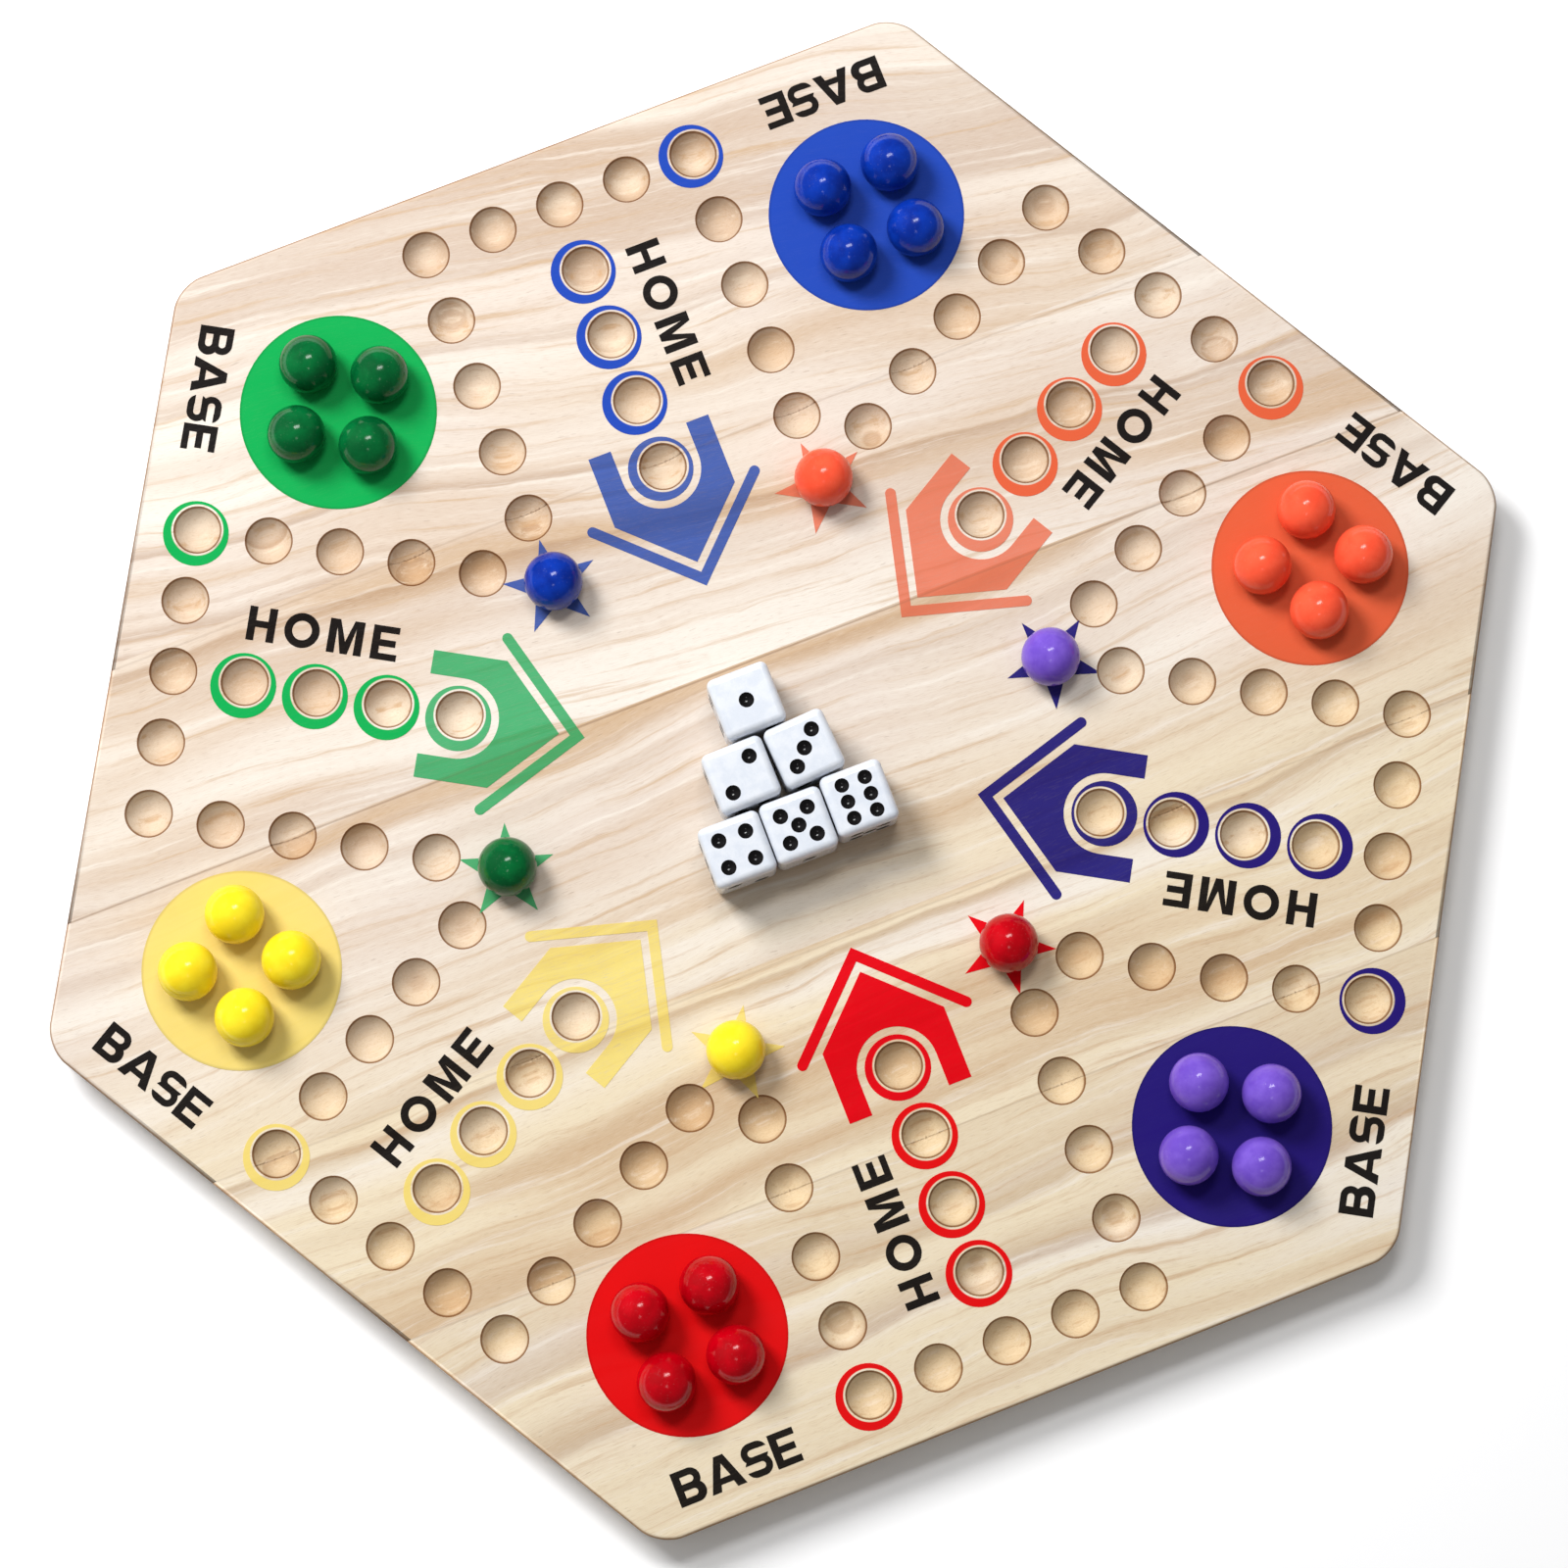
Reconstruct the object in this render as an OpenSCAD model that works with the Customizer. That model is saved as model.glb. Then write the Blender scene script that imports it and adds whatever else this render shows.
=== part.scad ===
// Six-player marble race board: an edge-glued hexagonal wooden board with drilled marble holes,
// screen-printed zones, thirty glass marbles and six dice.
// Origin: centre of the underside. +X runs along the wood grain, +Z is up.

/* [Board] */
// Width across two opposite flat sides
across_flats = 328; // [320:1:345]
// Thickness of the wood
board_t = 12; // [9:0.5:20]
// Radius of the six corners, seen from above
corner_r = 10.5; // [4:0.5:14]
// Chamfer along the top and bottom of the six sides
edge_c = 1; // [0.4:0.1:1.2]
// Glue seams between the five staves, measured across the grain from the centre
seams = [-97, -45, 26, 80]; // each inside the board, in rising order

/* [Holes] */
// Distance between neighbouring holes of the track
pitch = 17.6; // [17.2:0.1:18]
// Radius of a hole where it meets the top of the board
mouth_r = 5.7; // [5.2:0.05:6]
// Radius of the ball-nosed cutter that makes the holes
cutter_r = 6.35; // [6.3:0.05:7]
// Distance from the board's centre to a base, along its colour's arm
base_along = 119.6; // [118:0.2:121]
// Distance from that arm's centre line to the base
base_aside = 70.2; // [69:0.2:72]

/* [Marbles] */
// Diameter of a marble
marble_d = 14.3; // [13:0.1:15]
// Clearance kept between a seated marble and the rim of its hole
seat_gap = 0.3; // [0.1:0.05:0.5]

/* [Dice] */
// Edge length of a die
die_a = 15.5; // [12:0.5:15.5]
// Radius of a die's edges
die_edge_r = 1.8; // [1:0.1:2]
// Radius of a pip where it meets the face
pip_r = 1.7; // [1.2:0.05:1.8]
// Depth of a pip
pip_depth = 0.8; // [0.4:0.1:1]

/* [Prints] */
// Thickness of the ink
ink_t = 0.08; // [0.05:0.01:0.3]
// Registration error of the black lettering along the grain
letters_dx = -0.1; // [-0.5:0.1:0.5]
// Registration error of the black lettering across the grain
letters_dy = -0.6; // [-0.8:0.1:0.8]
// Radius of a coloured base
disc_r = 24.1; // [23:0.1:25]
// Outer radius of the ring around a start or home hole
ring_r = 8; // [7.8:0.05:8.6]
// Radius around each hole that the ink leaves bare
bare_r = 5.9; // [5.85:0.05:6.3]
// Outer radius of the stars
star_r = 12; // [10:0.1:12.5]
// Height of the capital letters
cap_h = 8.4; // [7.5:0.1:8.8]
// Stroke width of the letters
stroke = 1.9; // [1.5:0.1:2.1]

/* [Hidden] */
COLOURS = ["green", "blue", "orange", "purple", "red", "yellow"];
ARM_ANGLES = [150, 90, 30, -30, -90, -150];
// Registration error of each colour's print, along and across the grain
PRINT_SHIFTS = [[-0.65, -0.65], [-0.7, -0.3], [-0.45, -1.05], [0.8, -0.6], [-0.35, -0.3], [-0.3, -0.75]];
ARM_INKS = ["#00a651", "#1c3fa0", "#ee5a3c", "#28146e", "#e10519", "#f5d746"];
ARM_GLASS = ["#0c6b2c", "#0a32aa", "#fa5a3c", "#825ad2", "#c80019", "#fae119"];
// Where each die lies, along and across the grain, and how far it is turned
DICE_PLACES = [[-2.7, 15.5, 0], [-10.4, -0.8, 0.6], [6, -0.3, 3.5], [-17.8, -17.2, -0.7], [-2, -17.1, -0.7],
    [13.9, -16.2, -0.6]];
STAVE_COUNT = len(seams) + 1;

fine = 64;
apothem = across_flats / 2;
marble_r = marble_d / 2;
cutter_rise = sqrt(pow(cutter_r, 2) - pow(mouth_r, 2));
// The marble's centre above the board, where the hole's rim is seat_gap from the glass
marble_rise = sqrt(pow(marble_r + seat_gap, 2) - pow(mouth_r, 2));

// Places are given in an arm's own frame: how far out along the arm, then how far to its clockwise side.
inner = 2 * sqrt(3) * pitch;
function out(k) = inner + k * pitch;
HOME_HOLES = [for (k = [1 : 4]) [out(k), 0]];
START_HOLE = [out(5), 2 * pitch];
STAR_HOLE = [out(0), -2 * pitch];
TRACK_HOLES = concat(
    [for (k = [1 : 4]) [out(k), 2 * pitch]],
    [START_HOLE],
    [for (k = [1, 0, -1]) [out(5), k * pitch]],
    [for (k = [5 : -1 : 1]) [out(k), -2 * pitch]],
    [STAR_HOLE]
);
BASE_HOLES = [for (a = [-1, 1], b = [-1, 1]) [base_along + a * pitch / 2, base_aside + b * pitch / 2]];
ARM_HOLES = concat(TRACK_HOLES, HOME_HOLES, BASE_HOLES);
// The same place in the board's frame
function on_board(arm, p) = [
    p[0] * cos(ARM_ANGLES[arm]) + p[1] * sin(ARM_ANGLES[arm]),
    p[0] * sin(ARM_ANGLES[arm]) - p[1] * cos(ARM_ANGLES[arm])
];
ALL_HOLES = [for (arm = [0 : 5], p = ARM_HOLES) on_board(arm, p)];

// The board's outline from above: a hexagon with round corners
module outline() {
    corner_at = (apothem - corner_r) / cos(30);
    polygon([for (k = [0 : 5], side = [-30, 30])
        corner_at * [cos(60 * k), sin(60 * k)] + corner_r * [cos(60 * k + side), sin(60 * k + side)]]);
    for (k = [0 : 5]) rotate(60 * k) translate([corner_at, 0]) circle(r = corner_r, $fn = fine);
}

// A long slab between two opposite sides of the hexagon, with its four long edges chamfered
module slab(angle) {
    inset = apothem - edge_c;
    rotate(angle) rotate([90, 0, 0]) linear_extrude(height = 2 * across_flats, center = true) polygon([
        [-inset, 0], [inset, 0], [apothem, edge_c], [apothem, board_t - edge_c],
        [inset, board_t], [-inset, board_t], [-apothem, board_t - edge_c], [-apothem, edge_c]
    ]);
}

// The whole board before it is drilled
module board_blank() {
    intersection() {
        linear_extrude(height = board_t) outline();
        slab(30);
        slab(90);
        slab(150);
    }
}

// One stave: the strip of the board between two glue seams, with the holes that reach into it
module stave(i) {
    low = i == 1 ? -across_flats : seams[i - 2];
    high = i == STAVE_COUNT ? across_flats : seams[i - 1];
    wood = ["#e8d9bc", "#ead9bd", "#e6d2b5", "#e9d6b8", "#e4d0b4"][i - 1];
    color(wood) difference() {
        intersection() {
            board_blank();
            translate([-across_flats, low, -1]) cube([2 * across_flats, high - low, board_t + 2]);
        }
        for (p = ALL_HOLES)
            if (p[1] > low - mouth_r && p[1] < high + mouth_r)
                translate([p[0], p[1], board_t + cutter_rise]) sphere(r = cutter_r, $fn = fine);
    }
}

// Lays a flat figure, drawn in an arm's own frame, on the board as ink, with the holes left bare
module ink(arm) {
    translate([0, 0, board_t]) linear_extrude(height = ink_t) difference() {
        translate(PRINT_SHIFTS[arm]) rotate(ARM_ANGLES[arm]) mirror([0, 1]) children();
        rotate(ARM_ANGLES[arm]) mirror([0, 1])
            for (p = ARM_HOLES) translate(p) circle(r = bare_r, $fn = fine);
    }
}

// A house whose open end faces outwards along the arm, with a separate roof line over it
module house() {
    half = 15.7;
    slope = 0.966;
    apex = 53.8;
    foot = 87;
    door = 9.9;
    roof_t = 2.6;
    roof_apex = 49.35;
    roof_half = 21.2;
    difference() {
        polygon([[apex, 0], [apex + slope * half, half], [foot, half], [foot, -half], [apex + slope * half, -half]]);
        translate(HOME_HOLES[0]) circle(r = door, $fn = fine);
        translate([HOME_HOLES[0][0], -door]) square([foot, 2 * door]);
    }
    tip = roof_t / 2 * norm([1, slope]);
    lean = atan2(1, slope);
    function eave(a) = roof_half * [slope, 1] + roof_t / 2 * [cos(lean + a), sin(lean + a)];
    translate([roof_apex, 0]) polygon(concat(
        [[-tip, 0]],
        [for (a = [90 : -10 : -90]) eave(a)],
        [[tip, 0]],
        [for (a = [-90 : 10 : 90]) [eave(a)[0], -eave(a)[1]]]
    ));
}

// A regular five-pointed star with one point towards the middle of the board
module star() {
    waist = star_r * sin(18) / sin(126);
    inward = 180 - 30;
    translate(STAR_HOLE) polygon([for (k = [0 : 9])
        (k % 2 == 0 ? star_r : waist) * [cos(inward + 36 * k), sin(inward + 36 * k)]]);
}

module zone_print(arm) {
    color(ARM_INKS[arm]) ink(arm) {
        translate([base_along, base_aside]) circle(r = disc_r, $fn = fine);
        for (p = concat(HOME_HOLES, [START_HOLE])) translate(p) circle(r = ring_r, $fn = fine);
        house();
        star();
    }
}

// Plain block capitals. Each stands on y = 0 with its left edge at x = 0.
bar = stroke * 0.86;
H_W = 6.8;
O_W = 8.6;
M_W = 8.5;
E_W = 6.4;
B_W = 7.2;
A_W = 8.8;
S_W = 6.6;

module letter_h() {
    for (x = [0, H_W - stroke]) translate([x, 0]) square([stroke, cap_h]);
    translate([0, (cap_h - bar) / 2]) square([H_W, bar]);
}

module letter_o() {
    translate([O_W / 2, cap_h / 2]) difference() {
        circle(d = O_W, $fn = fine);
        circle(d = O_W - 2 * stroke, $fn = fine);
    }
}

module letter_m() {
    dip = cap_h * 0.36;
    foot = stroke * 0.46;
    shoulder = stroke * 1.3;
    polygon([
        [0, 0], [0, cap_h], [shoulder, cap_h], [M_W / 2, dip], [M_W - shoulder, cap_h], [M_W, cap_h], [M_W, 0],
        [M_W - stroke, 0], [M_W - stroke, cap_h - stroke], [M_W / 2 + foot, 0], [M_W / 2 - foot, 0],
        [stroke, cap_h - stroke], [stroke, 0]
    ]);
}

module letter_e() {
    square([stroke, cap_h]);
    for (y = [0, cap_h - bar]) translate([0, y]) square([E_W, bar]);
    translate([0, (cap_h - bar) / 2]) square([E_W - 0.6, bar]);
}

// A bar of the given length whose right end is round
module tab(length, height) {
    square([length - height / 2, height]);
    translate([length - height / 2, height / 2]) circle(d = height, $fn = fine);
}

module letter_b() {
    bowl = (cap_h + bar) / 2;
    difference() {
        union() {
            tab(B_W, bowl);
            translate([0, cap_h - bowl]) tab(B_W - 0.4, bowl);
            square([stroke, cap_h]);
        }
        for (low = [bar, cap_h - bowl + bar])
            translate([stroke, low]) tab(B_W - 2 * stroke - 0.2, bowl - 2 * bar);
    }
}

module letter_a() {
    slant = A_W / 2 / cap_h;
    half_top = stroke * 0.62;
    difference() {
        polygon([[0, 0], [A_W / 2 - half_top, cap_h], [A_W / 2 + half_top, cap_h], [A_W, 0]]);
        polygon([[stroke * 1.08, -1], [A_W - stroke * 1.08, -1], [A_W - stroke * 1.5, bar], [stroke * 1.5, bar]]);
        polygon([
            [A_W / 2, cap_h - stroke * 1.05],
            [A_W / 2 - slant * (cap_h - stroke * 1.5 - bar * 1.9), bar * 1.9],
            [A_W / 2 + slant * (cap_h - stroke * 1.5 - bar * 1.9), bar * 1.9]
        ]);
    }
}

// One bowl of the S: a flattened ring that is open on its lower right
module s_bowl() {
    r = (cap_h + bar) / 4;
    run = S_W / 2 - r;
    difference() {
        union() {
            for (side = [-1, 1]) translate([side * run, 0]) circle(r = r, $fn = fine);
            square([2 * run, 2 * r], center = true);
        }
        for (side = [-1, 1]) translate([side * run, 0]) circle(r = r - bar, $fn = fine);
        square([2 * run, 2 * (r - bar)], center = true);
        translate([0, -r + bar]) square([S_W, r - bar / 2]);
    }
}

module letter_s() {
    r = (cap_h + bar) / 4;
    translate([S_W / 2, cap_h - r]) s_bowl();
    translate([S_W / 2, r]) rotate(180) s_bowl();
}

module word_base() {
    gap = 0.7;
    a = B_W + gap;
    s = a + A_W + gap;
    e = s + S_W + gap;
    translate([-(e + E_W) / 2, -cap_h / 2]) {
        letter_b();
        translate([a, 0]) letter_a();
        translate([s, 0]) letter_s();
        translate([e, 0]) letter_e();
    }
}

module word_home() {
    gap = 2.2;
    o = H_W + gap;
    m = o + O_W + gap;
    e = m + M_W + gap;
    translate([-(e + E_W) / 2, -cap_h / 2]) {
        letter_h();
        translate([o, 0]) letter_o();
        translate([m, 0]) letter_m();
        translate([e, 0]) letter_e();
    }
}

// The names of the two zones of each arm. Base is read from outside, home towards the middle.
module zone_lettering() {
    color("#111111") translate([letters_dx, letters_dy, board_t]) linear_extrude(height = ink_t)
        for (arm = [0 : 5]) rotate(ARM_ANGLES[arm]) {
            translate([152.6, -70.8]) rotate(90) word_base();
            translate([114.8, -15.2]) rotate(180) word_home();
        }
}

module marble(arm, hole) {
    p = on_board(arm, hole);
    color(ARM_GLASS[arm]) translate([p[0], p[1], board_t + marble_rise]) sphere(r = marble_r, $fn = fine);
}

// Pip places on a face, in steps from its middle, for one to six pips
function pip_places(n) = concat(
    n % 2 == 1 ? [[0, 0]] : [],
    n > 1 ? [[-1, -1], [1, 1]] : [],
    n > 3 ? [[-1, 1], [1, -1]] : [],
    n == 6 ? [[-1, 0], [1, 0]] : []
);

// The turn that brings the face with n pips to the top. Opposite faces add up to seven.
function face_turn(n) = [[0, 0, 0], [-90, 0, 0], [0, -90, 0], [0, 90, 0], [90, 0, 0], [180, 0, 0]][n - 1];

module pips(n) {
    ball = (pow(pip_r, 2) + pow(pip_depth, 2)) / (2 * pip_depth);
    step = n == 6 ? [die_a * 0.185, die_a * 0.27] : [die_a * 0.215, die_a * 0.215];
    for (p = pip_places(n))
        translate([p[0] * step[0], p[1] * step[1], die_a / 2 + ball - pip_depth]) sphere(r = ball, $fn = fine);
}

// A square with round corners, the profile of a die seen along any of its three axes
module die_profile() {
    flat = die_a / 2 - die_edge_r;
    polygon([for (k = [0 : 3], side = [-45, 45])
        flat * sqrt(2) * [cos(90 * k + 45), sin(90 * k + 45)]
            + die_edge_r * [cos(90 * k + 45 + side), sin(90 * k + 45 + side)]]);
    for (x = [-1, 1], y = [-1, 1]) translate(flat * [x, y]) circle(r = die_edge_r, $fn = fine);
}

// A die with its n face up, with a drilled hollow for each pip
module die(n) {
    place = DICE_PLACES[n - 1];
    color("#f2f4f8") translate([place[0], place[1], board_t + die_a / 2]) rotate(place[2]) difference() {
        intersection() {
            die_bar([0, 0, 0]);
            die_bar([90, 0, 0]);
            die_bar([0, 90, 0]);
        }
        for (k = [1 : 6]) rotate(face_turn(n)) rotate(-face_turn(k)) pips(k);
    }
}

// The die's profile drawn out along one axis
module die_bar(turn) {
    rotate(turn) linear_extrude(height = 2 * die_a, center = true) die_profile();
}

for (i = [1 : STAVE_COUNT]) stave(i);
for (arm = [0 : 5]) zone_print(arm);
zone_lettering();
for (arm = [0 : 5], k = [1 : 4])
    marble(arm, BASE_HOLES[k - 1]);
for (arm = [0 : 5]) marble(arm, STAR_HOLE);
for (k = [1 : 6]) die(k);
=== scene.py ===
"""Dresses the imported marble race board: pine staves, printed zones, glass marbles and dice."""

from __future__ import annotations

import logging
import math
from dataclasses import dataclass
from enum import Enum
from typing import Any, Iterable, Sequence

import bmesh
import bpy
from mathutils import Matrix, Vector


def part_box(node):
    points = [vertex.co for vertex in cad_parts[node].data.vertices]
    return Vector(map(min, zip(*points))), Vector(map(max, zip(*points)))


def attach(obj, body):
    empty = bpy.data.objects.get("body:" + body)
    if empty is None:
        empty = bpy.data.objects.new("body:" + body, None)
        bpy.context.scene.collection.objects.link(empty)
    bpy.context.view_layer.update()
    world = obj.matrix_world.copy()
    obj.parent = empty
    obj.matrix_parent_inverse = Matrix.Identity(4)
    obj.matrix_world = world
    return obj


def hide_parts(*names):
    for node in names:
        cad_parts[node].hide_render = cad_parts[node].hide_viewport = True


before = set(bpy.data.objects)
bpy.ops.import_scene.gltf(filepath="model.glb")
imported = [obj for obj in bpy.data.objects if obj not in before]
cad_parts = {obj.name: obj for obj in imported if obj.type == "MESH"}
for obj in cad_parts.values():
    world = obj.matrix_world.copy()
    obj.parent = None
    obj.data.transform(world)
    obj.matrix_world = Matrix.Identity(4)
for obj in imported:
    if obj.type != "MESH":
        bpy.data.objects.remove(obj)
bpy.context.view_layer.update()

log = logging.getLogger("race_board")

# One millimetre in metres, and one metre in millimetres
MM = 0.001
MM_PER_M = 1000.0

Pair = tuple[float, float]
Triple = tuple[float, float, float]
RGB = tuple[float, float, float]

# The Mix node's sockets for colours, which share their names with its sockets for numbers
MIX_SHARE, MIX_FIRST, MIX_SECOND, MIX_RESULT = 0, 6, 7, 2


def srgb(red: float, green: float, blue: float) -> RGB:
    """Turns a display colour of 0 to 255 a channel into linear light.

    Args:
        red: The red channel.
        green: The green channel.
        blue: The blue channel.

    Returns:
        The three channels in linear light, 0 to 1.
    """
    return tuple(
        c / 12.92 if c <= 0.04045 else ((c + 0.055) / 1.055) ** 2.4
        for c in (red / 255, green / 255, blue / 255)
    )


class Camp(Enum):
    """The six players' colours, with the direction of each one's arm in degrees."""

    GREEN = 150
    BLUE = 90
    ORANGE = 30
    PURPLE = -30
    RED = -90
    YELLOW = -150

    @property
    def word(self) -> str:
        """The colour's name as the CAD nodes spell it."""
        return self.name.lower()


@dataclass(frozen=True)
class Layout:
    """Where one arm's holes and prints lie, in mm along the arm and aside of it."""

    pitch: float = 17.6
    base_along: float = 119.6
    base_aside: float = 70.2

    def row(self, number: int) -> float:
        """Gives how far along the arm a row of holes is, with row 0 the innermost."""
        return 2 * math.sqrt(3) * self.pitch + number * self.pitch

    @property
    def start(self) -> Pair:
        """The printed hole where the colour's marbles enter the track."""
        return self.row(5), 2 * self.pitch

    def holes(self) -> list[Pair]:
        """Works out the holes that belong to one arm.

        Returns:
            Their centres: the track's, then the home row's, then the base's.
        """
        out = [self.row(number) for number in range(6)]
        own = [(out[k], 2 * self.pitch) for k in (1, 2, 3, 4, 5)]
        own += [(out[5], k * self.pitch) for k in (1, 0, -1)]
        own += [(out[k], -2 * self.pitch) for k in (5, 4, 3, 2, 1, 0)]
        own += [(out[k], 0.0) for k in (1, 2, 3, 4)]
        own += [
            (self.base_along + a * self.pitch / 2, self.base_aside + b * self.pitch / 2)
            for a in (-1, 1)
            for b in (-1, 1)
        ]
        return own


class Bench:
    """A node tree under construction, with short calls for the nodes that the finishes use."""

    def __init__(self, tree: bpy.types.NodeTree) -> None:
        """Starts on an empty tree.

        Args:
            tree: The tree that the calls add nodes to.
        """
        self.tree = tree
        self.tree.nodes.clear()

    def add(self, kind: str, **settings: Any) -> bpy.types.Node:
        """Adds a node and sets its properties.

        Args:
            kind: The node's type name.
            settings: Its properties by name.

        Returns:
            The new node.
        """
        node = self.tree.nodes.new(kind)
        for name, value in settings.items():
            setattr(node, name, value)
        return node

    def feed(self, socket: bpy.types.NodeSocket, value: Any) -> None:
        """Links an output to a socket, or sets the socket to a constant.

        Args:
            socket: The input.
            value: The output that it reads, or a number or colour.
        """
        if isinstance(value, bpy.types.NodeSocket):
            self.tree.links.new(value, socket)
        elif isinstance(value, tuple) and len(value) == 3 and socket.type == "RGBA":
            socket.default_value = (*value, 1.0)
        else:
            socket.default_value = value

    def math(self, operation: str, *values: Any) -> Any:
        """Does arithmetic on numbers.

        Args:
            operation: The Math node's operation.
            values: Its one, two or three numbers or outputs.

        Returns:
            The result's output.
        """
        node = self.add("ShaderNodeMath", operation=operation)
        for socket, value in zip(node.inputs, values):
            self.feed(socket, value)
        return node.outputs[0]

    def plus(self, a: Any, b: Any) -> Any:
        """Adds two numbers."""
        return self.math("ADD", a, b)

    def minus(self, a: Any, b: Any) -> Any:
        """Takes the second number from the first."""
        return self.math("SUBTRACT", a, b)

    def times(self, a: Any, b: Any) -> Any:
        """Multiplies two numbers."""
        return self.math("MULTIPLY", a, b)

    def swing(self, value: Any, reach: float) -> Any:
        """Turns a number around one half into one around zero, times the reach."""
        return self.times(self.minus(value, 0.5), reach)

    def length(self, a: Any, b: Any) -> Any:
        """Gives the length of a step that goes a one way and b square to it."""
        squares = self.plus(self.math("POWER", a, 2.0), self.math("POWER", b, 2.0))
        return self.math("SQRT", squares)

    def place(self) -> Any:
        """Gives the object coordinates in mm.

        Returns:
            The vector's output.
        """
        node = self.add("ShaderNodeVectorMath", operation="SCALE")
        self.feed(node.inputs[0], self.add("ShaderNodeTexCoord").outputs["Object"])
        node.inputs["Scale"].default_value = MM_PER_M
        return node.outputs[0]

    def split(self, vector: Any) -> tuple[Any, Any, Any]:
        """Takes a vector apart.

        Args:
            vector: The vector's output.

        Returns:
            The outputs of its x, y and z.
        """
        node = self.add("ShaderNodeSeparateXYZ")
        self.feed(node.inputs[0], vector)
        return node.outputs[0], node.outputs[1], node.outputs[2]

    def join(self, x: Any, y: Any, z: Any) -> Any:
        """Puts three numbers together as a vector.

        Args:
            x: The first number or output.
            y: The second.
            z: The third.

        Returns:
            The vector's output.
        """
        node = self.add("ShaderNodeCombineXYZ")
        for socket, value in zip(node.inputs, (x, y, z)):
            self.feed(socket, value)
        return node.outputs[0]

    def scaled(self, place: Sequence[Any], by: Triple) -> Any:
        """Puts three numbers together as a vector, each times its own factor."""
        return self.join(*(self.times(value, factor) for value, factor in zip(place, by)))

    def noise(
        self, vector: Any, scale: float = 1.0, detail: float = 2.0, roughness: float = 0.5
    ) -> Any:
        """Gives soft noise of about 0.3 to 0.7 around one half.

        Args:
            vector: Where it is read.
            scale: Its scale.
            detail: How many finer layers it has.
            roughness: How strong those are.

        Returns:
            The noise's output.
        """
        node = self.add("ShaderNodeTexNoise")
        self.feed(node.inputs["Vector"], vector)
        node.inputs["Scale"].default_value = scale
        node.inputs["Detail"].default_value = detail
        node.inputs["Roughness"].default_value = roughness
        return node.outputs["Fac"]

    def span(
        self, value: Any, low: float, high: float, start: float = 0.0, end: float = 1.0
    ) -> Any:
        """Eases from start to end as the value goes from low to high.

        Args:
            value: The number that drives it.
            low: Where it leaves start.
            high: Where it reaches end, which may be below low.
            start: The result at low and before it.
            end: The result at high and past it.

        Returns:
            The eased number's output.
        """
        node = self.add("ShaderNodeMapRange", interpolation_type="SMOOTHSTEP")
        settings = {"From Min": low, "From Max": high, "To Min": start, "To Max": end}
        for name, number in settings.items():
            node.inputs[name].default_value = number
        self.feed(node.inputs["Value"], value)
        return node.outputs["Result"]

    def steps(self, value: Any, stops: Sequence[tuple[float, RGB]]) -> Any:
        """Looks a number up in a row of colours that change without blending.

        Args:
            value: The number, 0 to 1.
            stops: Where each colour starts, and the colour.

        Returns:
            The colour's output.
        """
        node = self.add("ShaderNodeValToRGB")
        strip = node.color_ramp
        strip.interpolation = "CONSTANT"
        while len(strip.elements) < len(stops):
            strip.elements.new(1.0)
        for element, (position, colour) in zip(strip.elements, stops):
            element.position = position
            element.color = (*colour, 1.0)
        self.feed(node.inputs["Fac"], value)
        return node.outputs["Color"]

    def blend(self, share: Any, a: Any, b: Any, how: str = "MIX") -> Any:
        """Mixes two colours.

        Args:
            share: How much of the second shows.
            a: The first colour.
            b: The second colour.
            how: The blend type.

        Returns:
            The mixed colour's output.
        """
        node = self.add("ShaderNodeMix", data_type="RGBA", blend_type=how, clamp_factor=True)
        self.feed(node.inputs[MIX_SHARE], share)
        self.feed(node.inputs[MIX_FIRST], a)
        self.feed(node.inputs[MIX_SECOND], b)
        return node.outputs[MIX_RESULT]

    def dim(self, colour: Any, factor: float) -> Any:
        """Multiplies a colour by one number."""
        return self.blend(1.0, colour, (factor,) * 3, "MULTIPLY")

    def relief(self, height: Any, strength: float, depth_mm: float) -> Any:
        """Turns a height into a normal for a shader's relief.

        Args:
            height: The height, 0 to 1.
            strength: How much of it shows.
            depth_mm: How far 0 to 1 is.

        Returns:
            The normal's output.
        """
        node = self.add("ShaderNodeBump")
        node.inputs["Strength"].default_value = strength
        node.inputs["Distance"].default_value = depth_mm * MM
        self.feed(node.inputs["Height"], height)
        return node.outputs["Normal"]


def new_material(name: str) -> tuple[bpy.types.Material, Bench]:
    """Makes an empty node material.

    Args:
        name: The material's name.

    Returns:
        The material, and a bench on its tree.
    """
    material = bpy.data.materials.new(name)
    material.use_nodes = True
    return material, Bench(material.node_tree)


def surface(bench: Bench, **inputs: Any) -> None:
    """Ends a material with its shader.

    Args:
        bench: The material's bench.
        inputs: The shader's inputs, with spaces written as underscores.
    """
    shader = bench.add("ShaderNodeBsdfPrincipled")
    for name, value in inputs.items():
        bench.feed(shader.inputs[name.replace("_", " ")], value)
    output = bench.add("ShaderNodeOutputMaterial")
    bench.feed(output.inputs["Surface"], shader.outputs["BSDF"])


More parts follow.
